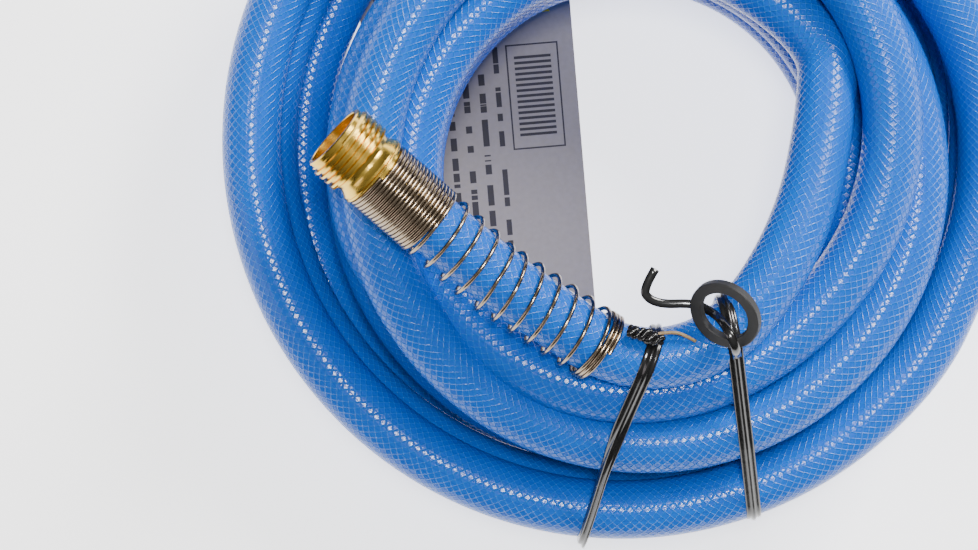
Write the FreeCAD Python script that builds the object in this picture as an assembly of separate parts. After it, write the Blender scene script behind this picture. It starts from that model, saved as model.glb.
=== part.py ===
"""Coiled drinking-water hose with threaded brass ends, wire hose savers and ties.

Millimetres, +Z up. The origin is the centre of the coil's outer circle, on the surface
that the coil lies on. Each function makes one group of sub-parts in place.
"""
import FreeCAD, Part
import math
import os

V = FreeCAD.Vector

# ---- hose ----
HOSE_OD = 21.2            # braided 5/8 in drinking-water hose
HOSE_BORE = 15.9
LINER_WALL = 1.18         # inner tube
BRAID_WALL = 0.30         # woven sleeve between inner tube and cover
LAYER_GAP = 0.02

# ---- coil ----
COIL_OD = 287.8           # outer circle of the two outermost turns
OUTER_RING_WIDTH = 26.0
OUTER_RING_TOP = 63.8
WEB_TOP = 42.2            # crossing turns between the outer and inner turns
BUNDLE_CENTRE = (8.0, -11.5)  # inner turns lie off centre
BUNDLE_R = 107.2
BUNDLE_TOP = 93.2
BUNDLE_CREST_R = 86.0     # radius where the bundle's flat top ends
BUNDLE_SHOULDER = (99.5, 82.7)
BUNDLE_SIDE_TOP = 70.2
HOLE_CENTRE = (3.0, -11.9)
HOLE_R = 67.4
HOLE_SIDE_TOP = 83.2
HOLE_MOUTH_R = 77.0
COIL_ROUNDING = 8.0

# ---- garden hose thread, 3/4 in - 11.5 per inch ----
PITCH = 25.4 / 11.5
MALE_CREST_R = 26.99 / 2
MALE_ROOT_R = 12.06
FEMALE_CREST_R = 12.50
FEMALE_ROOT_R = 13.75
THREAD_LAND = 0.35        # axial half-width of a groove's floor
THREAD_SLOPE = 0.50       # how much wider, each side, a groove is at its mouth

# ---- male coupling, along its axis from the mouth ----
MALE_MOUTH = V(-99.4, -2.6, 126.7)
MALE_HEADING = 138.7      # plan direction that the mouth faces, degrees from +X
MALE_RISE = 12.4          # degrees above level
NOSE_R = 12.3
NOSE_LENGTH = 1.8
NOSE_EDGE = 0.4
THREAD_LEAD_IN = 0.8
MALE_THREAD_END = 11.5
NECK_R = 11.7
NECK_LOW_AT = 13.4
FLARE_R = 13.2
FLARE_AT = 16.6
MALE_FACE = 17.4          # back face, against the ferrule's rim
MOUTH_BORE_R = 10.6
MOUTH_DEPTH = 9.0
THROAT_AT = 13.5
WATERWAY_R = 6.5
STEM_LENGTH = 24.0
STEM_R = HOSE_BORE / 2 - 0.03
BARB_COUNT = 5
BARB_DEPTH = 0.55

# ---- ferrule, crimped over the hose end ----
FERRULE_RIM_R = 13.3
FERRULE_RIM = 1.1
FERRULE_WALL = 0.95
FERRULE_LENGTH = 25.0
FERRULE_GAP = 0.03

# ---- hose saver, a spring of one wire ----
WIRE_R = 0.71
GRIP_TURNS = 17
GRIP_PITCH = 1.44
STRAIGHT_TURNS = 4        # open turns on the coupling's axis
BENT_TURNS = 6            # open turns after the hose bends
OPEN_PITCH = 7.0
MALE_BEND = 7.7           # degrees, in plan
FEMALE_BEND = -7.7
END_TURNS = 3
SPRING_FIT = 0.06         # between the gripping turns and the ferrule

# ---- female coupling, along its axis from the mouth ----
FEMALE_MOUTH = V(-85.0, 108.0, 81.2)
NUT_R = 15.0
NUT_LENGTH = 17.5
NUT_FLUTES = 12
FLUTE_R = 2.6
NUT_ENTRY_R = 14.0
NUT_ENTRY = 1.6
NUT_THREAD_END = 11.0
NUT_BACK = 14.3           # inner face of the nut's back wall
SWIVEL_R = 9.70
SWIVEL_CLEARANCE = 0.08
FLANGE_R = 12.2
FLANGE = 2.0
SEAT_R = 12.6
SEAT_BORE_R = 8.0
SEAT_THICKNESS = 2.6
SHOULDER_R = 11.4
SHOULDER = 4.0

# ---- wire ties ----
TIE_WIDTH = 4.6
TIE_THICKNESS = 0.8
TIE_GAP = 0.15
TIE_CORE = 0.4
TIE_ROUND = 9.0
LEFT_TIE = (8.6, -72.4, -0.304, -0.953)     # a point in plan, and the direction outwards
RIGHT_TIE = (35.7, -72.4, 0.186, -0.983)
TWIST_WIRE_R = 0.9

# ---- spare washer, held by the right tie ----
WASHER_CENTRE = V(31.7, -61.8, 120.7)
WASHER_LEAN = 45.0        # tilt of its axis from vertical
WASHER_LEAN_TO = 225.0    # plan direction that its axis leans to
WASHER_OD = 25.4
WASHER_BORE = 17.5
WASHER_THICKNESS = 3.0
WASHER_EDGE = 0.3

# ---- retail card under the coil ----
CARD_CORNER = V(-14.5, 26.8, 0.0)           # a point on its right-hand edge
CARD_TURN = 4.8
CARD_WIDTH = 80.0
CARD_ABOVE = 45.0         # length above and below that point
CARD_BELOW = 107.0
CARD_THICKNESS = 0.4
CARD_CORNER_R = 3.0

# routes of the two stretches that leave the coil, from inside it to the fitting
MALE_ROUTE = [(71.5, 32.0, 76.7), (70.5, 13.5, 82.7), (67.4, -4.9, 87.7), (63.0, -22.4, 92.7),
              (55.6, -39.9, 96.7), (46.3, -55.3, 99.0), (35.8, -67.4, 99.8), (23.9, -74.8, 100.2),
              (8.3, -78.0, 100.4)]
FEMALE_ROUTE = [(123.3, -48.6, 52.2), (129.6, -27.5, 54.2), (131.4, -5.5, 58.2), (128.7, 16.5, 63.7),
                (121.5, 37.0, 69.9), (109.5, 56.0, 75.0), (94.5, 72.5, 78.7), (77.0, 86.0, 80.6),
                (57.5, 95.5, 81.2)]
LAST_RUN = 48.0           # from the saver's bend to the next bend of the hose

# free ends of the ties
LEFT_TAIL = [(6.0, -69.2, 113.1), (10.5, -68.4, 113.4), (15.2, -68.0, 113.1), (19.0, -69.2, 112.3),
             (22.4, -71.2, 111.5)]
RIGHT_TAIL = [(36.3, -76.6, 112.9), (35.8, -75.3, 120.4), (33.2, -68.8, 123.8), (30.6, -64.2, 119.4),
              (28.9, -62.2, 115.2), (26.0, -60.2, 112.0), (23.4, -58.9, 111.2), (19.2, -58.3, 110.8), (11.6, -58.6, 111.0), (6.5, -57.0, 111.7),
              (4.4, -53.6, 112.2), (8.6, -46.6, 113.2)]
TAIL_WIDTH = 3.0
TAIL_THICKNESS = 1.0

hose_r = HOSE_OD / 2
coil_r = COIL_OD / 2
ferrule_in = hose_r + FERRULE_GAP
ferrule_out = ferrule_in + FERRULE_WALL
spring_r = ferrule_out + SPRING_FIT + WIRE_R
LEFT_UNDER = [(5.8, 100.5, hose_r + 0.4), (3.8, 100.5, hose_r + 0.4)]
RIGHT_UNDER = [(-2.7, 99.8, hose_r + 0.4), (-8.1, 99.8, hose_r + 0.4)]
spring_to_bend = GRIP_TURNS * GRIP_PITCH + STRAIGHT_TURNS * OPEN_PITCH
male_ferrule_at = MALE_FACE
male_spring_at = male_ferrule_at + FERRULE_RIM
tail_flange_at = NUT_BACK - FLANGE
seat_at = tail_flange_at - SEAT_THICKNESS
female_ferrule_at = NUT_LENGTH + 0.4 + SHOULDER
female_spring_at = female_ferrule_at + FERRULE_RIM


def save(shape, node):
    """Write one node's STEP."""
    shape.exportStep("parts/" + node + ".step")
    print(f"{node:22s} solids {len(shape.Solids)} valid {shape.isValid()} volume {shape.Volume:10.1f}")


def lathe(points):
    """Solid of revolution about +Z from (radius, height) points."""
    wire = Part.makePolygon([V(r, 0, z) for r, z in points] + [V(points[0][0], 0, points[0][1])])
    return Part.Face(wire).revolve(V(0, 0, 0), V(0, 0, 1), 360)


def facing(mouth, heading, rise):
    """Placement that takes +Z to the inward axis of a fitting, and +X to its upper side."""
    h, e = math.radians(heading), math.radians(rise)
    inward = V(-math.cos(h) * math.cos(e), -math.sin(h) * math.cos(e), -math.sin(e))
    upper = V(-math.cos(h) * math.sin(e), -math.sin(h) * math.sin(e), math.cos(e))
    return FreeCAD.Placement(mouth, FreeCAD.Rotation(upper, inward.cross(upper), inward, "ZXY"))


male_place = facing(MALE_MOUTH, MALE_HEADING, MALE_RISE)
female_place = facing(FEMALE_MOUTH, 180.0, 0.0)


def placed(shape, place):
    """A copy of a shape, moved by a placement."""
    moved = shape.copy()
    moved.Placement = place.multiply(moved.Placement)
    return moved


def sweep(path, section):
    """Solid of a closed section swept along a wire."""
    pipe = Part.BRepOffsetAPI.MakePipeShell(path)
    pipe.setFrenetMode(True)
    pipe.add(section)
    pipe.build()
    pipe.makeSolid()
    return pipe.shape()


def rounded_route(points, label):
    """Wire of straight runs and tangent arcs through the points."""
    edges, start, radii = [], points[0], []
    for before, corner, after in zip(points, points[1:], points[2:]):
        back, ahead = before - corner, after - corner
        run = min(back.Length, ahead.Length)
        half_turn = (math.pi - back.getAngle(ahead)) / 2
        cut = 0.45 * run
        radii.append(cut / math.tan(half_turn))
        back.normalize()
        ahead.normalize()
        one, two = corner + back * cut, corner + ahead * cut
        middle = back + ahead
        middle.normalize()
        centre_gap = radii[-1] / math.cos(half_turn)
        top = corner + middle * (centre_gap - radii[-1])
        edges += [Part.makeLine(start, one), Part.Arc(one, top, two).toShape()]
        start = two
    edges.append(Part.makeLine(start, points[-1]))
    print(label, "arc radii:", " ".join(f"{r:.0f}" for r in radii))
    return Part.Wire(edges)


def tube(path, first, second, outer, inner):
    """Hollow tube along a wire that starts at first, towards second."""
    heading = second - first
    shells = [sweep(path, Part.Wire(Part.makeCircle(r, first, heading))) for r in (outer, inner)]
    return shells[0].cut(shells[1])


def hose_coil():
    """Outer shape of the coiled hose: an outer ring, an off-centre bundle and the turns between."""
    ring_in = coil_r - OUTER_RING_WIDTH
    ring = Part.makeCylinder(coil_r, OUTER_RING_TOP)
    ring = ring.cut(Part.makeCylinder(ring_in, OUTER_RING_TOP))
    rims = [e for e in ring.Edges if isinstance(e.Curve, Part.Circle)]
    ring = ring.makeFillet(COIL_ROUNDING, rims)
    web = Part.makeCylinder(ring_in + COIL_ROUNDING, WEB_TOP - COIL_ROUNDING, V(0, 0, COIL_ROUNDING))
    bundle = lathe([(0, 0), (BUNDLE_R - COIL_ROUNDING, 0), (BUNDLE_R, COIL_ROUNDING),
                    (BUNDLE_R, BUNDLE_SIDE_TOP), BUNDLE_SHOULDER, (BUNDLE_CREST_R, BUNDLE_TOP),
                    (0, BUNDLE_TOP)])
    bundle.translate(V(*BUNDLE_CENTRE, 0))
    coil = ring.fuse([web, bundle])
    bore = V(*HOLE_CENTRE, -1)
    mouth = V(*HOLE_CENTRE, HOLE_SIDE_TOP)
    slope = (HOLE_MOUTH_R - HOLE_R) / (BUNDLE_TOP - HOLE_SIDE_TOP)
    coil = coil.cut([Part.makeCylinder(HOLE_R, 2 * BUNDLE_TOP, bore),
                     Part.makeCone(HOLE_R, HOLE_MOUTH_R + 5 * slope, BUNDLE_TOP - HOLE_SIDE_TOP + 5, mouth)])
    for plan, circles in ((LEFT_TIE, tie_circles(LEFT_TIE, LEFT_UNDER)),
                          (RIGHT_TIE, tie_circles(RIGHT_TIE, RIGHT_UNDER))):
        coil = coil.cut(band(circles, 0, 4, TIE_WIDTH + 0.3, plan))
    return coil.cut(retail_card(0.05)).removeSplitter()


def lead(name, route):
    """The hose between the coil and a fitting, as cover, braid and liner. It ends inside the coil."""
    path = rounded_route(route, name)
    braid_out = HOSE_BORE / 2 + LINER_WALL + LAYER_GAP + BRAID_WALL
    layers = {"cover": (hose_r, braid_out + LAYER_GAP),
              "braid": (braid_out, braid_out - BRAID_WALL),
              "liner": (HOSE_BORE / 2 + LINER_WALL, HOSE_BORE / 2)}
    for layer, (outer, inner) in layers.items():
        whole = tube(path, route[0], route[1], outer, inner)
        section = math.pi * (outer ** 2 - inner ** 2)
        print(f"  {layer}: volume {whole.Volume:.0f}, section x length {section * path.Length:.0f}")
        save(whole, name + "_" + layer)


def thread_groove(radius_floor, radius_open, start, end):
    """Helical cutter for one thread, about +Z."""
    turns = (end - start) / PITCH
    path = Part.Wire(Part.makeHelix(PITCH, turns * PITCH, (radius_floor + radius_open) / 2).Edges)
    path.translate(V(0, 0, start))
    wide = THREAD_LAND + THREAD_SLOPE
    corners = [V(radius_open, 0, start - wide), V(radius_floor, 0, start - THREAD_LAND),
               V(radius_floor, 0, start + THREAD_LAND), V(radius_open, 0, start + wide)]
    return sweep(path, Part.makePolygon(corners + corners[:1]))


def stem_points(start):
    """Outline of a barbed stem from its root to its tip and back down the waterway."""
    step = STEM_LENGTH / BARB_COUNT
    points = []
    for i in range(BARB_COUNT):
        points += [(STEM_R - BARB_DEPTH, start + i * step), (STEM_R, start + i * step + 0.3),
                   (STEM_R - BARB_DEPTH, start + (i + 1) * step)]
    return points + [(WATERWAY_R, start + STEM_LENGTH)]


def male_coupling():
    """Externally threaded brass end with a coved neck and a barbed stem."""
    neck = [(MALE_CREST_R, NOSE_LENGTH + THREAD_LEAD_IN), (MALE_CREST_R, MALE_THREAD_END), (MALE_ROOT_R, MALE_THREAD_END + 0.5)]
    for i in range(7):
        t = i / 6
        z = NECK_LOW_AT + t * (FLARE_AT - NECK_LOW_AT)
        neck.append((NECK_R + (FLARE_R - NECK_R) * (1 - math.cos(t * math.pi / 2)), z))
    outline = [(MOUTH_BORE_R, NOSE_EDGE / 2), (MOUTH_BORE_R + NOSE_EDGE / 2, 0), (NOSE_R - NOSE_EDGE, 0),
               (NOSE_R, NOSE_EDGE), (NOSE_R, NOSE_LENGTH)] + neck
    outline += [(FLARE_R, MALE_FACE)] + stem_points(MALE_FACE)
    outline += [(WATERWAY_R, THROAT_AT), (MOUTH_BORE_R, MOUTH_DEPTH)]
    body = lathe(outline)
    groove = thread_groove(MALE_ROOT_R, MALE_CREST_R + 0.6, NOSE_LENGTH + 0.4, MALE_THREAD_END)
    return placed(body.cut(groove), male_place)


def ferrule(at, place):
    """Brass sleeve over the hose end, with a rim and an end wall round the stem."""
    clear = STEM_R + 0.02
    outline = [(clear, at), (FERRULE_RIM_R - 0.4, at), (FERRULE_RIM_R, at + 0.4),
               (FERRULE_RIM_R, at + FERRULE_RIM - 0.3), (FERRULE_RIM_R - 0.3, at + FERRULE_RIM),
               (ferrule_out, at + FERRULE_RIM), (ferrule_out, at + FERRULE_LENGTH),
               (ferrule_in, at + FERRULE_LENGTH), (ferrule_in, at + FERRULE_RIM), (clear, at + FERRULE_RIM)]
    return placed(lathe(outline), place)


def saver_bend(at, place, bend):
    """A fitting's frame carried to the bend of its saver, and turned by the bend."""
    there = FreeCAD.Placement(V(0, 0, at + spring_to_bend), FreeCAD.Rotation(V(1, 0, 0), bend))
    return place.multiply(there)


def wire_turns(turns, pitch, height):
    """Helical wire of some turns, from a height on +X."""
    path = Part.Wire(Part.makeHelix(pitch, turns * pitch, spring_r).Edges)
    centre, out = V(spring_r, 0, 0), V(WIRE_R, 0, 0)
    up = V(0, -pitch, 2 * math.pi * spring_r).normalize() * WIRE_R
    halves = [Part.Arc(centre + out, centre + up, centre - out), Part.Arc(centre - out, centre - up, centre + out)]
    section = Part.Wire([half.toShape() for half in halves])
    turn = sweep(path, section)
    turn.translate(V(0, 0, height))
    return turn


def hose_saver(at, place, bend):
    """Spring of one wire: gripping turns, open turns with a bend, and closed end turns."""
    start = WIRE_R + 0.05
    corner = V(0, 0, start + spring_to_bend)
    stretches = [(GRIP_TURNS, GRIP_PITCH, False), (STRAIGHT_TURNS, OPEN_PITCH, False),
                 (BENT_TURNS, OPEN_PITCH, True), (END_TURNS, GRIP_PITCH, True)]
    wire, height = [], start
    for turns, pitch, bent in stretches:
        piece = wire_turns(turns, pitch, height)
        if bent:
            piece.rotate(corner, V(1, 0, 0), bend)
        wire.append(piece)
        height += turns * pitch
    spring = Part.makeCompound(wire)
    spring.translate(V(0, 0, at))
    return placed(spring, place)


def swivel_nut():
    """Fluted nut with an internal thread and an inward back wall."""
    hole_r = SWIVEL_R
    outline = [(NUT_ENTRY_R, 0), (NUT_R - 0.8, 0), (NUT_R, 0.8), (NUT_R, NUT_LENGTH - 0.8),
               (NUT_R - 0.8, NUT_LENGTH), (hole_r, NUT_LENGTH), (hole_r, NUT_BACK), (SEAT_R + 0.1, NUT_BACK),
               (SEAT_R + 0.1, NUT_THREAD_END), (FEMALE_CREST_R, NUT_THREAD_END),
               (FEMALE_CREST_R, NUT_ENTRY + 1.0), (NUT_ENTRY_R, NUT_ENTRY)]
    nut = lathe(outline)
    flutes = []
    for i in range(NUT_FLUTES):
        a = 2 * math.pi * i / NUT_FLUTES
        out = NUT_R + FLUTE_R - 0.55
        flutes.append(Part.makeCylinder(FLUTE_R, NUT_LENGTH - 5.0, V(out * math.cos(a), out * math.sin(a), 2.5)))
    nut = nut.cut(flutes)
    groove = thread_groove(FEMALE_ROOT_R, FEMALE_CREST_R - 0.6, NUT_ENTRY - 0.5, NUT_THREAD_END - 1.0)
    return placed(nut.cut(groove), female_place)


def seat_washer():
    """Rubber washer that seals the female end."""
    outline = [(SEAT_BORE_R, seat_at), (SEAT_R, seat_at), (SEAT_R, tail_flange_at - 0.05),
               (SEAT_BORE_R, tail_flange_at - 0.05)]
    return placed(lathe(outline), female_place)


def female_tailpiece():
    """Flanged tube that the nut turns on, with a shoulder and a barbed stem."""
    neck_r = SWIVEL_R - SWIVEL_CLEARANCE
    front, back = tail_flange_at, female_ferrule_at
    outline = [(WATERWAY_R, front), (FLANGE_R, front), (FLANGE_R, front + FLANGE - 0.1),
               (neck_r, front + FLANGE - 0.1), (neck_r, back - SHOULDER), (SHOULDER_R - 0.5, back - SHOULDER),
               (SHOULDER_R, back - SHOULDER + 0.5), (SHOULDER_R, back)]
    return placed(lathe(outline + stem_points(back)), female_place)


def belt(circles, grow):
    """Closed wire around circles (across, up, radius), like a tight belt, in the XZ plane."""
    n = len(circles)
    touches = []
    for i in range(n):
        (x1, z1, r1), (x2, z2, r2) = circles[i], circles[(i + 1) % n]
        r1, r2 = r1 + grow, r2 + grow
        gap = math.hypot(x2 - x1, z2 - z1)
        angle = math.atan2(z2 - z1, x2 - x1) - math.acos((r1 - r2) / gap)
        touches.append((angle, (x1, z1, r1), (x2, z2, r2)))
    edges = []

    def at(circle, angle):
        return V(circle[0] + circle[2] * math.cos(angle), 0, circle[1] + circle[2] * math.sin(angle))

    for i in range(n):
        angle, one, two = touches[i]
        after = touches[(i + 1) % n][0]
        while after < angle:
            after += 2 * math.pi
        edges.append(Part.makeLine(at(one, angle), at(two, angle)))
        edges.append(Part.Arc(at(two, angle), at(two, (angle + after) / 2), at(two, after)).toShape())
    return Part.Wire(edges)


def band(circles, inner, outer, width, plan):
    """Flat closed loop of ribbon around circles, in a tie's upright plane."""
    whole, hollow = [Part.Face(belt(circles, g)).extrude(V(0, width, 0)) for g in (outer, inner)]
    loop = whole.cut(hollow)
    loop.translate(V(0, -width / 2, 0))
    x, y, dx, dy = plan
    turn = FreeCAD.Rotation(V(0, 0, 1), math.degrees(math.atan2(dy, dx)))
    return placed(loop, FreeCAD.Placement(V(x, y, 0), turn))


def crossing(plan, centre, radius):
    """Where a tie's plane leaves a circle of the coil, as a distance from the tie's point."""
    x, y, dx, dy = plan
    px, py = x - centre[0], y - centre[1]
    b = px * dx + py * dy
    return -b + math.sqrt(b * b - (px * px + py * py - radius * radius))


def tie_circles(plan, lead_circles):
    """Circles that a tie's loop is drawn tight around: the coil's corners, and the lead."""
    bite = TIE_GAP + TIE_THICKNESS + 0.05
    inside = crossing(plan, HOLE_CENTRE, HOLE_R)
    outside = crossing(plan, (0, 0), coil_r) - bite
    small = 3.0
    corners = [(inside + small, bite + small, small), (outside - TIE_ROUND, bite + TIE_ROUND, TIE_ROUND),
               (outside - TIE_ROUND, OUTER_RING_TOP - TIE_ROUND, TIE_ROUND)]
    return corners + lead_circles


def tie(name, plan, lead_circles):
    """Ribbon loop around the whole coil and the lead on it, with its wire core."""
    circles = tie_circles(plan, lead_circles)
    ribbon = band(circles, TIE_GAP, TIE_GAP + TIE_THICKNESS, TIE_WIDTH, plan)
    middle = TIE_GAP + TIE_THICKNESS / 2
    core = band(circles, middle - TIE_CORE / 2, middle + TIE_CORE / 2, TIE_CORE, plan)
    save(ribbon.cut(core), name + "_band")
    save(core, name + "_wire")


def twist(start, end, wire_r, turns):
    """Two wires twisted round each other from start to end."""
    axis = end - start
    height = axis.Length
    radius = wire_r + 0.03
    pair = []
    for phase in (0, 180):
        path = Part.Wire(Part.makeHelix(height / turns, height, radius).Edges)
        strand = sweep(path, Part.Wire(Part.makeCircle(wire_r, V(radius, 0, 0), V(0, 1, 0))))
        strand.rotate(V(0, 0, 0), V(0, 0, 1), phase)
        pair.append(strand)
    place = FreeCAD.Placement(start, FreeCAD.Rotation(V(0, 0, 1), axis))
    return placed(Part.makeCompound(pair), place)


def tail(points, width, thickness, label):
    """Flat strip along a route, its flat side up."""
    path = rounded_route([V(*p) for p in points], label)
    ahead = (V(*points[1]) - V(*points[0])).normalize()
    side = ahead.cross(V(0, 0, 1)).normalize() * (width / 2)
    lift = side.cross(ahead).normalize() * (thickness / 2)
    corners = [V(*points[0]) + side * i + lift * j for i, j in ((1, 1), (-1, 1), (-1, -1), (1, -1))]
    pipe = Part.BRepOffsetAPI.MakePipeShell(path)
    pipe.setBiNormalMode(V(0, 0, 1))
    pipe.add(Part.makePolygon(corners + corners[:1]))
    pipe.build()
    pipe.makeSolid()
    return pipe.shape()


def spare_washer():
    """Rubber hose washer held on the tie."""
    half, outer, inner, e = WASHER_THICKNESS / 2, WASHER_OD / 2, WASHER_BORE / 2, WASHER_EDGE
    ring = lathe([(inner, -half + e), (inner + e, -half), (outer - e, -half), (outer, -half + e),
                  (outer, half - e), (outer - e, half), (inner + e, half), (inner, half - e)])
    lean, to = math.radians(WASHER_LEAN), math.radians(WASHER_LEAN_TO)
    axis = V(math.sin(lean) * math.cos(to), math.sin(lean) * math.sin(to), math.cos(lean))
    return placed(ring, FreeCAD.Placement(WASHER_CENTRE, FreeCAD.Rotation(V(0, 0, 1), axis)))


def retail_card(room=0.0):
    """Card that lies under the coil, or the recess for it."""
    wide, high = CARD_WIDTH + 2 * room, CARD_ABOVE + CARD_BELOW + 2 * room
    card = Part.makeBox(wide, high, CARD_THICKNESS + room, V(-CARD_WIDTH - room, -CARD_BELOW - room, 0))
    upright = [e for e in card.Edges if abs(e.tangentAt(e.FirstParameter).z) > 0.99]
    card = card.makeFillet(CARD_CORNER_R, upright)
    return placed(card, FreeCAD.Placement(CARD_CORNER, FreeCAD.Rotation(V(0, 0, 1), CARD_TURN)))


def build():
    """Make every node."""
    os.makedirs("parts", exist_ok=True)
    save(hose_coil(), "hose_coil")
    for name, route, place, at, bend in (
            ("male_lead", MALE_ROUTE, male_place, male_spring_at, MALE_BEND),
            ("female_lead", FEMALE_ROUTE, female_place, female_spring_at, FEMALE_BEND)):
        turned = saver_bend(at + WIRE_R + 0.05, place, bend)
        ends = [turned.multVec(V(0, 0, LAST_RUN)), turned.multVec(V(0, 0, 0)), place.multVec(V(0, 0, at))]
        print(name, "last points:", [tuple(round(c, 2) for c in p) for p in ends])
        lead(name, [V(*p) for p in route] + ends)
    save(male_coupling(), "male_coupling")
    save(ferrule(male_ferrule_at, male_place), "male_ferrule")
    save(hose_saver(male_spring_at, male_place, MALE_BEND), "male_hose_saver")
    save(swivel_nut(), "swivel_nut")
    save(seat_washer(), "seat_washer")
    save(female_tailpiece(), "female_tailpiece")
    save(ferrule(female_ferrule_at, female_place), "female_ferrule")
    save(hose_saver(female_spring_at, female_place, FEMALE_BEND), "female_hose_saver")
    tie("left_tie", LEFT_TIE, LEFT_UNDER)
    tie("right_tie", RIGHT_TIE, RIGHT_UNDER)
    save(twist(V(-0.3, -67.4, 113.6), V(10.8, -70.8, 114.1), TWIST_WIRE_R, 3), "left_tie_knot")
    save(tail(LEFT_TAIL, 1.5, 1.0, "left tail"), "left_tie_tail")
    save(tail(RIGHT_TAIL, TAIL_WIDTH, TAIL_THICKNESS, "right tail"), "right_tie_tail")
    save(spare_washer(), "spare_washer")
    save(retail_card(), "retail_card")


build()
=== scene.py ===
import math

import bpy
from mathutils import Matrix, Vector


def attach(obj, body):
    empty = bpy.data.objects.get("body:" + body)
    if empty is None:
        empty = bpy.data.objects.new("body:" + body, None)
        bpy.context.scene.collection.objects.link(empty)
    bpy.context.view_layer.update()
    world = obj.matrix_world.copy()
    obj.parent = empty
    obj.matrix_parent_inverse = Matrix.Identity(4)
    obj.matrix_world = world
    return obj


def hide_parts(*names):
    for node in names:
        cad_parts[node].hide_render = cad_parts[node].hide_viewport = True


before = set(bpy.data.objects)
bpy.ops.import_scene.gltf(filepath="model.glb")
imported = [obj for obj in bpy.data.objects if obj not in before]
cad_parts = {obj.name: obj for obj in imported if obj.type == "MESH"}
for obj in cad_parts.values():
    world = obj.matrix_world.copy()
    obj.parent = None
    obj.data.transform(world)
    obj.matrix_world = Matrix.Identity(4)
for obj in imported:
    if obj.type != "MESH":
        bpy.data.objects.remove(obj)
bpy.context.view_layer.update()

MM = 0.001
HOSE_D = 0.0212
POINTS_A_TURN = 16
RING = 26

# routes of the two ends, in metres, from each fitting into the coil
MALE_ROUTE = [(-0.08583, -0.01453, 0.12273), (-0.04676, -0.04884, 0.11129), (-0.02070, -0.06610, 0.10449),
              (-0.00761, -0.07467, 0.10108), (0.0083, -0.0780, 0.1004), (0.0239, -0.0748, 0.1002),
              (0.0358, -0.0674, 0.0998), (0.0463, -0.0553, 0.0990), (0.0556, -0.0399, 0.0967),
              (0.0630, -0.0224, 0.0927), (0.0674, -0.0049, 0.0877), (0.0705, 0.0135, 0.0827),
              (0.0715, 0.0320, 0.0767)]
FEMALE_ROUTE = [(-0.0620, 0.1080, 0.0812), (-0.00876, 0.1080, 0.0812), (0.0190, 0.1043, 0.0812),
                (0.03881, 0.10157, 0.0812), (0.0575, 0.0955, 0.0812), (0.0770, 0.0860, 0.0806),
                (0.0945, 0.0725, 0.0787), (0.1095, 0.0560, 0.0750), (0.1215, 0.0370, 0.0699),
                (0.1287, 0.0165, 0.0637), (0.1314, -0.0055, 0.0582), (0.1296, -0.0275, 0.0542),
                (0.1233, -0.0486, 0.0522)]

# the coil's turns in order from the male end: centre, then radius and height (mm) where the
# turn crosses the left side, and where it crosses the lower side
TURNS = [
    (3.0, -11.9, 78.0, 74.2, 78.0, 83.2),
    (8.0, -11.5, 96.6, 92.2, 96.6, 72.7),
    (4.0, -12.0, 99.5, 71.0, 76.0, 62.0),
    (4.0, -12.0, 79.0, 53.0, 75.5, 40.8),
    (4.0, -12.0, 79.0, 31.8, 75.5, 19.8),
    (4.0, -12.0, 98.0, 10.6, 96.0, 10.6),
    (4.0, -12.0, 100.0, 29.0, 96.0, 30.5),
    (4.0, -12.0, 100.0, 50.0, 96.0, 51.5),
    (0.0, 0.0, 117.5, 10.6, 130.0, 10.6),
    (0.0, 0.0, 128.8, 31.8, 128.8, 31.8),
    (0.0, 0.0, 133.3, 52.2, 133.3, 52.2),
]
LEFT, LOWER, CROSS_FROM, CROSS_TO = 180.0, 262.0, 298.0, 432.0
COIL_START, COIL_END = 55.0, 322.0


# ---------------------------------------------------------------- small helpers
def ease(t):
    t = min(1.0, max(0.0, t))
    return t * t * (3 - 2 * t)


def mix(a, b, t):
    return [x + (y - x) * t for x, y in zip(a, b)]


def coil_points():
    """Control points of the turns: a loop over angle, each turn easing into the next out of sight."""
    points = []
    step = 360.0 / POINTS_A_TURN
    swell = 1 / math.cos(math.radians(step / 2))
    total = (len(TURNS) - 1) * 360.0 + COIL_END
    count = int((total - COIL_START) / step)
    for i in range(count + 1):
        angle = COIL_START + (total - COIL_START) * i / count
        k = int((angle - CROSS_TO + 360.0) // 360.0)
        k = max(0, min(len(TURNS) - 1, k))
        local = angle - 360.0 * k
        here = TURNS[k]
        cx, cy = here[0], here[1]
        r, z = mix(here[2:4], here[4:6], ease((local - LEFT) / (LOWER - LEFT)))
        if local > CROSS_FROM and k + 1 < len(TURNS):
            there = TURNS[k + 1]
            t = ease((local - CROSS_FROM) / (CROSS_TO - CROSS_FROM))
            cx, cy, r, z = mix((cx, cy, r, z), there[0:4], t)
        a = math.radians(angle)
        points.append((MM * (cx + r * swell * math.cos(a)), MM * (cy + r * swell * math.sin(a)), MM * z))
    return points


def nurbs(name, points, resolution=10):
    """Smooth spline with the points as its control points."""
    data = bpy.data.curves.new(name, "CURVE")
    data.dimensions = "3D"
    spline = data.splines.new("NURBS")
    spline.points.add(len(points) - 1)
    for p, co in zip(spline.points, points):
        p.co = (*co, 1.0)
    spline.order_u = 3
    spline.use_endpoint_u = True
    spline.resolution_u = resolution
    data.resolution_u = resolution
    obj = bpy.data.objects.new(name, data)
    bpy.context.scene.collection.objects.link(obj)
    return obj


def line_of(curve_obj):
    """Points of the spline, then the curve is removed."""
    mesh = bpy.data.meshes.new_from_object(curve_obj)
    points = [v.co.copy() for v in mesh.vertices]
    bpy.data.meshes.remove(mesh)
    bpy.data.objects.remove(curve_obj)
    return points


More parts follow.
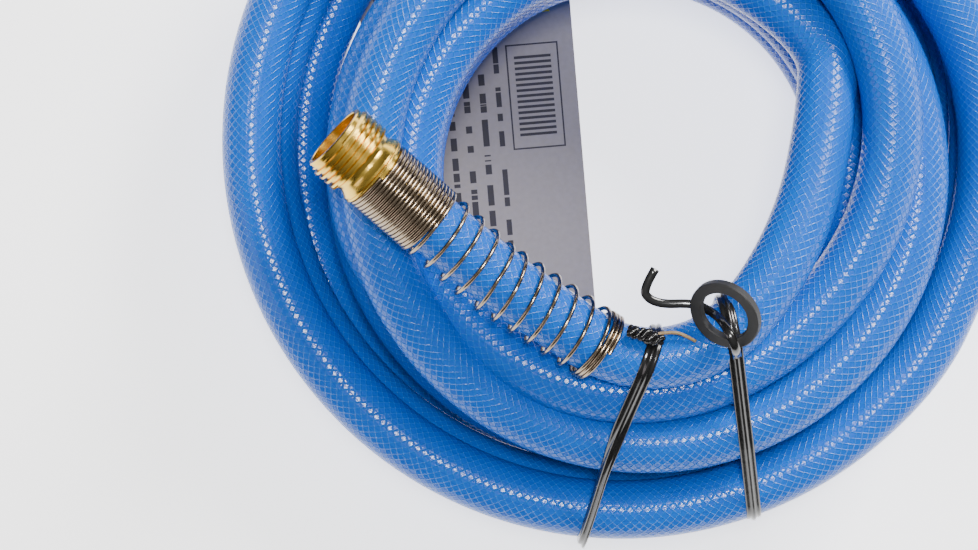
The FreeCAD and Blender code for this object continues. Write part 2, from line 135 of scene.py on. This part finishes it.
def frames(points):
    """Centre, two cross directions and distance along, for each point, without twist."""
    out = []
    along = 0.0
    side = None
    for i, p in enumerate(points):
        before, after = points[max(0, i - 1)], points[min(len(points) - 1, i + 1)]
        t = (after - before).normalized()
        if side is None:
            side = t.cross(Vector((0, 0, 1)))
            side = side.normalized() if side.length > 1e-6 else Vector((1, 0, 0))
        side = (side - t * side.dot(t)).normalized()
        if i:
            along += (p - points[i - 1]).length
        out.append((p, side, t.cross(side), along))
    return out


def tube(name, points, section, around=RING, closed_ends=True):
    """Mesh tube: section(part) is a ring vertex's offset, part of the way round. UV is metres, turns."""
    verts, faces, uvs = [], [], []
    rings = frames(points)
    for p, side, up, along in rings:
        for k in range(around):
            a, b = section(k / around)
            verts.append(p + side * a + up * b)
    for i in range(len(rings) - 1):
        for k in range(around):
            n = (k + 1) % around
            faces.append((i * around + k, i * around + n, (i + 1) * around + n, (i + 1) * around + k))
            u0, u1 = rings[i][3], rings[i + 1][3]
            v0, v1 = k / around, (k + 1) / around
            uvs += [(u0, v0), (u0, v1), (u1, v1), (u1, v0)]
    if closed_ends:
        last = (len(rings) - 1) * around
        faces.append(tuple(range(around))[::-1])
        faces.append(tuple(last + k for k in range(around)))
        uvs += [(0, 0)] * around + [(rings[-1][3], 0)] * around
    mesh = bpy.data.meshes.new(name)
    mesh.from_pydata(verts, [], faces)
    layer = mesh.uv_layers.new(name="UVMap")
    for loop, uv in zip(layer.data, uvs):
        loop.uv = uv
    mesh.polygons.foreach_set("use_smooth", [True] * len(mesh.polygons))
    mesh.update()
    obj = bpy.data.objects.new(name, mesh)
    bpy.context.scene.collection.objects.link(obj)
    return obj


def round_section(radius):
    def offset(part):
        a = 2 * math.pi * part
        return radius * math.cos(a), radius * math.sin(a)
    return offset


# ---------------------------------------------------------------- materials
class Nodes:
    """Short way to build a node material."""

    def __init__(self, name):
        self.mat = bpy.data.materials.new(name)
        self.mat.use_nodes = True
        self.tree = self.mat.node_tree
        self.bsdf = self.tree.nodes["Principled BSDF"]

    def add(self, kind, **values):
        node = self.tree.nodes.new(kind)
        for key, value in values.items():
            setattr(node, key, value)
        return node

    def link(self, a, b):
        self.tree.links.new(a, b)

    def put(self, socket, value):
        if isinstance(value, (int, float)):
            socket.default_value = value
        elif isinstance(value, tuple):
            socket.default_value = value
        else:
            self.link(value, socket)

    def math(self, op, a, b=0.0, c=0.0):
        node = self.add("ShaderNodeMath", operation=op)
        for i, value in enumerate((a, b, c)):
            if len(node.inputs) > i:
                self.put(node.inputs[i], value)
        return node.outputs[0]

    def ramp(self, value, stops):
        node = self.add("ShaderNodeValToRGB")
        ramp = node.color_ramp
        while len(ramp.elements) < len(stops):
            ramp.elements.new(0.5)
        for element, (at, colour) in zip(ramp.elements, stops):
            element.position = at
            element.color = colour
        self.link(value, node.inputs[0])
        return node.outputs[0]

    def blend(self, factor, a, b):
        node = self.add("ShaderNodeMix", data_type="RGBA")
        self.put(node.inputs[0], factor)
        self.put(node.inputs[6], a)
        self.put(node.inputs[7], b)
        return node.outputs[2]

    def noise(self, scale, detail=3.0, vector=None, coord="Object"):
        node = self.add("ShaderNodeTexNoise")
        node.inputs["Scale"].default_value = scale
        node.inputs["Detail"].default_value = detail
        if vector is None:
            vector = self.add("ShaderNodeTexCoord").outputs[coord]
        self.link(vector, node.inputs["Vector"])
        return node.outputs["Fac"]

    def bump(self, height, strength, distance):
        node = self.add("ShaderNodeBump")
        node.inputs["Strength"].default_value = strength
        node.inputs["Distance"].default_value = distance
        self.link(height, node.inputs["Height"])
        self.link(node.outputs[0], self.bsdf.inputs["Normal"])

    def set(self, **values):
        for key, value in values.items():
            self.put(self.bsdf.inputs[key.replace("_", " ")], value)
        return self


def grey(v):
    return (v, v, v, 1.0)


def hose_material():
    """Blue PVC with a fine crossed braid under a clear cover."""
    n = Nodes("braided_blue_pvc")
    uv = n.add("ShaderNodeUVMap").outputs[0]
    split = n.add("ShaderNodeSeparateXYZ")
    n.link(uv, split.inputs[0])
    u, v = split.outputs[0], split.outputs[1]
    lines = n.math("MULTIPLY", u, 1000.0 / 6.2)
    around = n.math("MULTIPLY", v, 11.0)
    yarns = []
    for sign in (1.0, -1.0):
        phase = n.math("MULTIPLY_ADD", around, sign, lines)
        doubled = n.math("MULTIPLY", phase, 2.0)
        away = n.math("ABSOLUTE", n.math("SUBTRACT", n.math("FRACT", doubled), 0.5))
        yarns.append(n.math("POWER", n.math("MULTIPLY", away, 2.0), 8.0))
    net = n.math("MAXIMUM", yarns[0], yarns[1])
    cross = n.math("MULTIPLY", yarns[0], yarns[1])
    patch = n.noise(70.0, 2.0, vector=uv)
    strands = n.noise(1500.0, 2.0, vector=uv)
    deep = n.blend(patch, (0.0, 0.070, 0.46, 1), (0.0, 0.145, 0.72, 1))
    yarn = n.blend(strands, (0.0, 0.14, 0.62, 1), (0.03, 0.40, 1.0, 1))
    colour = n.blend(n.math("MULTIPLY", net, 0.45), deep, yarn)
    colour = n.blend(n.math("MULTIPLY", cross, 0.35), colour, (0.35, 0.62, 1.0, 1))
    n.link(colour, n.bsdf.inputs["Base Color"])
    height = n.math("ADD", net, n.math("MULTIPLY", patch, 0.5))
    n.bump(height, 0.55, 0.0004)
    n.link(n.bsdf.inputs["Normal"].links[0].from_socket, n.bsdf.inputs["Coat Normal"])
    n.set(Roughness=0.24, IOR=1.35, Coat_Weight=0.2, Coat_Roughness=0.05, Coat_IOR=1.4)
    return n.mat


def brass_material():
    n = Nodes("polished_brass")
    wear = n.noise(45.0, 4.0)
    fine = n.noise(700.0, 2.0)
    n.link(n.blend(wear, (0.70, 0.42, 0.055, 1), (0.88, 0.62, 0.13, 1)), n.bsdf.inputs["Base Color"])
    n.link(n.math("MULTIPLY_ADD", wear, 0.16, 0.16), n.bsdf.inputs["Roughness"])
    n.bump(fine, 0.12, 0.0001)
    n.set(Metallic=1.0)
    return n.mat


def steel_material():
    n = Nodes("spring_wire")
    wear = n.noise(120.0, 3.0)
    n.link(n.blend(wear, (0.20, 0.15, 0.10, 1), (0.42, 0.34, 0.25, 1)), n.bsdf.inputs["Base Color"])
    n.link(n.math("MULTIPLY_ADD", wear, 0.16, 0.14), n.bsdf.inputs["Roughness"])
    n.set(Metallic=1.0)
    return n.mat


def rubber_material(name, tone, roughness):
    n = Nodes(name)
    spots = n.noise(380.0, 4.0)
    n.link(n.blend(spots, grey(tone * 0.7), grey(tone * 1.4)), n.bsdf.inputs["Base Color"])
    n.bump(spots, 0.25, 0.0002)
    n.set(Roughness=roughness)
    return n.mat


def tie_material():
    n = Nodes("glossy_black_tie")
    grain = n.noise(240.0, 3.0)
    n.link(n.blend(grain, grey(0.004), grey(0.012)), n.bsdf.inputs["Base Color"])
    n.link(n.math("MULTIPLY_ADD", grain, 0.15, 0.14), n.bsdf.inputs["Roughness"])
    n.bump(grain, 0.2, 0.0003)
    n.set(Coat_Weight=0.6, Coat_Roughness=0.1)
    return n.mat


def tan_material():
    n = Nodes("tan_coated_wire")
    streak = n.noise(300.0, 3.0)
    n.link(n.blend(streak, (0.16, 0.10, 0.04, 1), (0.42, 0.29, 0.13, 1)), n.bsdf.inputs["Base Color"])
    n.bump(streak, 0.3, 0.0002)
    n.set(Roughness=0.35)
    return n.mat


def card_material():
    """Grey card with plain printed bars, a block of stripes and a small yellow triangle."""
    n = Nodes("printed_card")
    coords = n.add("ShaderNodeMapping", vector_type="TEXTURE")
    coords.inputs["Location"].default_value = (-0.0145, 0.0268, 0.0)
    coords.inputs["Rotation"].default_value = (0.0, 0.0, math.radians(4.8))
    n.link(n.add("ShaderNodeTexCoord").outputs["Object"], coords.inputs[0])
    split = n.add("ShaderNodeSeparateXYZ")
    n.link(coords.outputs[0], split.inputs[0])
    x, y = split.outputs[0], split.outputs[1]

    def inside(value, low, high):
        return n.math("MULTIPLY", n.math("GREATER_THAN", value, low), n.math("LESS_THAN", value, high))

    def rows(value, period, duty):
        return n.math("LESS_THAN", n.math("FRACT", n.math("MULTIPLY", value, 1.0 / period)), duty)

    broken = n.add("ShaderNodeTexNoise", noise_dimensions="2D")
    dash = n.add("ShaderNodeCombineXYZ")
    n.put(dash.inputs[0], n.math("MULTIPLY", n.math("FLOOR", n.math("MULTIPLY", x, 1.0 / 0.0062)), 7.3))
    n.put(dash.inputs[1], n.math("MULTIPLY", y, 260.0))
    n.link(dash.outputs[0], broken.inputs["Vector"])
    broken.inputs["Scale"].default_value = 1.0
    words = n.math("GREATER_THAN", broken.outputs["Fac"], 0.47)
    bars = n.math("MULTIPLY", n.math("MULTIPLY", rows(x, 0.0062, 0.38), words), inside(x, -0.078, -0.029))
    bars = n.math("MULTIPLY", bars, inside(y, -0.10, 0.040))
    stripes = n.math("MULTIPLY", rows(y, 0.0021, 0.5), inside(y, -0.022, 0.010))
    stripes = n.math("MULTIPLY", stripes, inside(x, -0.023, -0.009))
    edge = n.math("MULTIPLY", inside(x, -0.026, -0.006), inside(y, -0.026, 0.014))
    hole = n.math("MULTIPLY", inside(x, -0.0254, -0.0066), inside(y, -0.0254, 0.0134))
    frame_line = n.math("SUBTRACT", edge, hole)
    ink = n.math("MAXIMUM", n.math("MAXIMUM", bars, stripes), frame_line)
    fibre = n.noise(500.0, 3.0)
    paper = n.blend(fibre, (0.27, 0.245, 0.235, 1), (0.33, 0.30, 0.29, 1))
    colour = n.blend(n.math("MULTIPLY", ink, 0.85), paper, (0.012, 0.012, 0.02, 1))
    slope = n.math("ABSOLUTE", n.math("ADD", x, 0.0105))
    point = n.math("LESS_THAN", n.math("MULTIPLY_ADD", slope, 1.9, y), 0.0305)
    sign = n.math("MULTIPLY", point, n.math("GREATER_THAN", y, 0.0255))
    sign = n.math("MULTIPLY", sign, inside(x, -0.014, -0.007))
    n.link(n.blend(sign, colour, (0.85, 0.62, 0.02, 1)), n.bsdf.inputs["Base Color"])
    n.bump(fibre, 0.1, 0.0001)
    n.set(Roughness=0.9, Specular_IOR_Level=0.1)
    return n.mat


def floor_material():
    n = Nodes("pale_floor")
    cloud = n.noise(3.0, 2.0)
    n.link(n.blend(cloud, grey(0.92), grey(0.95)), n.bsdf.inputs["Base Color"])
    n.set(Roughness=0.9, Emission_Color=grey(1.0), Emission_Strength=1.8)
    return n.mat


MAT = {
    "hose": hose_material(), "brass": brass_material(), "steel": steel_material(),
    "rubber": rubber_material("black_rubber", 0.016, 0.55), "tie": tie_material(), "card": card_material(),
    "tan": tan_material(),
}


def dress(node, material):
    """Give a carried-over CAD node its material."""
    obj = bpy.data.objects[node]
    for i in range(max(1, len(obj.material_slots))):
        if obj.material_slots:
            obj.material_slots[i].material = material
        else:
            obj.data.materials.append(material)


# ---------------------------------------------------------------- the hose
route = MALE_ROUTE + coil_points() + FEMALE_ROUTE[::-1]
centre_line = line_of(nurbs("hose_route", route))
hose = tube("hose", centre_line, round_section(HOSE_D / 2))
hose.data.materials.append(MAT["hose"])
LEAD_LAYERS = [side + "_lead_" + layer
               for side in ("male", "female") for layer in ("cover", "braid", "liner")]
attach(hose, "hose")
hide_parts("hose_coil", *LEAD_LAYERS)

# ---------------------------------------------------------------- the ties
SECTION_POINTS = 48       # points round each cut of the hose
SECTION_REACH = 0.02      # how far behind its start a tie's plane still meets hose
TIE_ABOVE_FLOOR = 0.0012
RIBBON_STEP = 0.003
LOW_RUN = 0.02            # below this height the ribbon lies flat and straight


def hull(points):
    """Convex hull, counter-clockwise."""
    points = sorted(set(points))
    halves = []
    for run in (points, points[::-1]):
        half = []
        for p in run:
            while len(half) > 1:
                (ax, ay), (bx, by) = half[-2], half[-1]
                if (bx - ax) * (p[1] - ay) - (by - ay) * (p[0] - ax) > 0:
                    break
                half.pop()
            half.append(p)
        halves += half[:-1]
    return halves


def hose_sections(plan):
    """Ellipses where a tie's upright plane cuts the hose: distance outwards, height, half width."""
    x, y, dx, dy = plan
    normal = Vector((-dy, dx, 0))
    out = []
    for a, b in zip(centre_line, centre_line[1:]):
        da = (a - Vector((x, y, 0))).dot(normal)
        db = (b - Vector((x, y, 0))).dot(normal)
        if da * db <= 0 and da != db:
            p = a + (b - a) * (da / (da - db))
            across = (p.x - x) * dx + (p.y - y) * dy
            if across > -SECTION_REACH:
                turn = abs((b - a).normalized().dot(normal))
                out.append((across, p.z, HOSE_D / 2 / max(0.6, turn)))
    return out


def band_tie(name, plan, profile, twist_low, bow, nodes):
    """Closed ribbon drawn tight round the turns of hose."""
    x, y, dx, dy = plan
    points = []
    for across, up, half in hose_sections(plan):
        for k in range(SECTION_POINTS):
            a = 2 * math.pi * k / SECTION_POINTS
            height = max(TIE_ABOVE_FLOOR, up + HOSE_D / 2 * math.sin(a))
            points.append((across + half * math.cos(a), height))
    loop = hull(points)
    dense = []
    for (ax, ay), (bx, by) in zip(loop, loop[1:] + loop[:1]):
        parts = max(1, int(math.hypot(bx - ax, by - ay) / RIBBON_STEP))
        dense += [(ax + (bx - ax) * i / parts, ay + (by - ay) * i / parts) for i in range(parts)]
    count, wide = len(dense), len(profile)
    reach = max(q[0] for q in dense)
    verts, faces = [], []
    for i, (across, up) in enumerate(dense):
        ahead, behind = dense[(i + 1) % count], dense[i - 1]
        tx, ty = ahead[0] - behind[0], ahead[1] - behind[1]
        size = math.hypot(tx, ty)
        ox, oy = ty / size, -tx / size
        outward = Vector((dx * ox, dy * ox, oy))
        sideways = Vector((-dy, dx, 0))
        go = ease(across / reach)
        turn = twist_low * ease((go - 0.25) / 0.5) * (1 if up > LOW_RUN else 0)
        lift = 0.0012 * abs(math.sin(turn)) * 1.6
        w = sideways * math.cos(turn) + outward * math.sin(turn)
        h = outward * math.cos(turn) - sideways * math.sin(turn)
        shift = bow * math.sin(math.pi * go) * (1 if up > LOW_RUN else 0)
        base = Vector((x + dx * across, y + dy * across, up)) + sideways * shift + outward * lift
        for a, b in profile:
            verts.append(base + w * (a * MM) + h * (b * MM))
    for i in range(count):
        j = (i + 1) % count
        for k in range(wide):
            m = (k + 1) % wide
            faces.append((i * wide + k, j * wide + k, j * wide + m, i * wide + m))
    mesh = bpy.data.meshes.new(name)
    mesh.from_pydata([tuple(v) for v in verts], [], faces)
    mesh.polygons.foreach_set("use_smooth", [True] * len(mesh.polygons))
    mesh.update()
    obj = bpy.data.objects.new(name, mesh)
    bpy.context.scene.collection.objects.link(obj)
    finish_piece(obj, "tie", nodes)
    return obj


def finish_piece(obj, key, nodes):
    """Material, body and the CAD nodes that the piece stands for."""
    obj.data.materials.append(MAT[key])
    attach(obj, "hose")
    if nodes:
        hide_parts(*nodes)


RIBBON = [(-2.7, 0.12), (-2.5, 0.55), (-1.7, 0.70), (-1.1, 0.55), (-0.6, 1.25), (0.0, 1.45), (0.6, 1.25),
          (1.1, 0.55), (1.7, 0.70), (2.5, 0.55), (2.7, 0.12)]
band_tie("left_band", (0.0086, -0.0724, -0.304, -0.953), RIBBON, 0.9, -0.0014,
         ["left_tie_band", "left_tie_wire"])
band_tie("right_band", (0.0357, -0.0724, 0.186, -0.983), RIBBON, 0.0, 0.0,
         ["right_tie_band", "right_tie_wire"])


def strip(name, points, profile, key, nodes, twist=0.0, swell=0.0):
    """Ribbon or wire along a smooth line, its flat side up, turning along its length."""
    line = line_of(nurbs(name + "_line", points, 8))
    count, wide = len(line), len(profile)
    verts, faces = [], []
    for i, p in enumerate(line):
        t = (line[min(i + 1, count - 1)] - line[max(i - 1, 0)]).normalized()
        w = t.cross(Vector((0, 0, 1))).normalized()
        h = w.cross(t)
        a = twist * i / (count - 1)
        w, h = w * math.cos(a) + h * math.sin(a), h * math.cos(a) - w * math.sin(a)
        size = MM * (1 + swell * math.sin(i * 2.1) * math.cos(i * 0.7))
        verts += [tuple(p + w * (c * size) + h * (d * size)) for c, d in profile]
    for i in range(count - 1):
        for k in range(wide):
            m = (k + 1) % wide
            faces.append((i * wide + k, i * wide + m, (i + 1) * wide + m, (i + 1) * wide + k))
    faces.append(tuple(range(wide))[::-1])
    faces.append(tuple((count - 1) * wide + k for k in range(wide)))
    mesh = bpy.data.meshes.new(name)
    mesh.from_pydata(verts, [], faces)
    mesh.polygons.foreach_set("use_smooth", [len(f.vertices) == 4 for f in mesh.polygons])
    mesh.update()
    obj = bpy.data.objects.new(name, mesh)
    bpy.context.scene.collection.objects.link(obj)
    finish_piece(obj, key, nodes)
    return obj


FLAT = [(-1.5, -0.25), (-1.5, 0.25), (-0.7, 0.32), (0.0, 0.62), (0.7, 0.32), (1.5, 0.25), (1.5, -0.25),
        (0.0, -0.45)]
RIGHT_TAIL = [(0.0363, -0.0766, 0.1129), (0.0358, -0.0753, 0.1204), (0.0332, -0.0688, 0.1238),
              (0.0306, -0.0642, 0.1194), (0.0289, -0.0622, 0.1152), (0.0260, -0.0602, 0.1120),
              (0.0234, -0.0589, 0.1112), (0.0192, -0.0583, 0.1108),
              (0.0116, -0.0586, 0.1110), (0.0065, -0.0570, 0.1117), (0.0044, -0.0536, 0.1122),
              (0.0086, -0.0466, 0.1132)]
strip("right_tail", RIGHT_TAIL, FLAT, "tie", ["right_tie_tail"])
WIRE = [(0.62 * math.cos(math.pi * k / 4), 0.62 * math.sin(math.pi * k / 4)) for k in range(8)]
LEFT_TAIL = [(0.0060, -0.0692, 0.1131), (0.0105, -0.0684, 0.1134), (0.0152, -0.0680, 0.1131),
             (0.0190, -0.0692, 0.1123), (0.0224, -0.0712, 0.1115)]
strip("left_tail", LEFT_TAIL, WIRE, "tan", ["left_tie_tail"])


def knot_strand(phase):
    """One of the two strands twisted round each other at the left tie."""
    a, b = Vector((-0.0003, -0.0674, 0.1136)), Vector((0.0108, -0.0708, 0.1141))
    axis = (b - a).normalized()
    side = axis.cross(Vector((0, 0, 1))).normalized()
    up = side.cross(axis)
    points = []
    for i in range(41):
        t = i / 40
        angle = 2 * math.pi * 2.6 * t + phase
        r = 0.00115 * (0.75 + 0.45 * math.sin(math.pi * t))
        points.append(a.lerp(b, t) + side * (r * math.cos(angle)) + up * (r * math.sin(angle)))
    return points


LUMP = [(1.25 * math.cos(math.pi * k / 5), 0.85 * math.sin(math.pi * k / 5)) for k in range(10)]
strip("left_knot_one", knot_strand(0.0), LUMP, "tie", ["left_tie_knot"], 5.0, 0.25)
strip("left_knot_two", knot_strand(math.pi), LUMP, "tie", [], 5.0, 0.25)

# ---------------------------------------------------------------- CAD nodes that stay
for node, key in {
        "male_coupling": "brass", "male_ferrule": "brass", "female_ferrule": "brass",
        "female_tailpiece": "brass", "swivel_nut": "brass", "male_hose_saver": "steel",
        "female_hose_saver": "steel", "seat_washer": "rubber", "spare_washer": "rubber",
        "retail_card": "card"}.items():
    dress(node, MAT[key])

# ---------------------------------------------------------------- stage, lights, camera
bpy.ops.mesh.primitive_plane_add(size=6.0, location=(0, 0, 0))
floor = bpy.context.object
floor.name = "floor"
floor.data.materials.append(floor_material())


def area_light(name, location, target, size, watts, colour=(1, 1, 1)):
    data = bpy.data.lights.new(name, "AREA")
    data.shape = "RECTANGLE"
    data.size, data.size_y = size
    data.energy = watts
    data.color = colour
    obj = bpy.data.objects.new(name, data)
    bpy.context.scene.collection.objects.link(obj)
    obj.location = location
    obj.rotation_euler = (Vector(target) - Vector(location)).to_track_quat("-Z", "Y").to_euler()
    return obj


area_light("overhead", (-0.02, 0.10, 1.9), (0, 0, 0), (0.30, 0.30), 26)
area_light("key", (0.85, 0.95, 1.10), (0, -0.03, 0.05), (0.6, 0.6), 40, (1.0, 0.98, 0.96))
area_light("left_fill", (-1.3, -0.4, 0.8), (0, 0, 0.05), (0.5, 0.9), 3, (1.0, 0.9, 0.93))

world = bpy.data.worlds.new("soft")
bpy.context.scene.world = world
world.use_nodes = True
sky = world.node_tree
direction = sky.nodes.new("ShaderNodeTexCoord")
height = sky.nodes.new("ShaderNodeSeparateXYZ")
sky.links.new(direction.outputs["Generated"], height.inputs[0])
shade = sky.nodes.new("ShaderNodeValToRGB")
shade.color_ramp.elements[0].position = 0.15
shade.color_ramp.elements[0].color = (0.10, 0.10, 0.11, 1)
shade.color_ramp.elements[1].position = 0.85
shade.color_ramp.elements[1].color = (1, 1, 1, 1)
sky.links.new(height.outputs[2], shade.inputs[0])
sky.links.new(shade.outputs[0], sky.nodes["Background"].inputs[0])
sky.nodes["Background"].inputs[1].default_value = 0.3

camera = bpy.data.cameras.new("camera")
camera.lens = 98.9
camera.sensor_width = 36.0
camera.clip_start = 0.01
view = bpy.data.objects.new("camera", camera)
bpy.context.scene.collection.objects.link(view)
view.location = (-0.0476, -0.0487, 1.0212)
view.rotation_euler = (0.0, 0.0, 0.0)
bpy.context.scene.camera = view
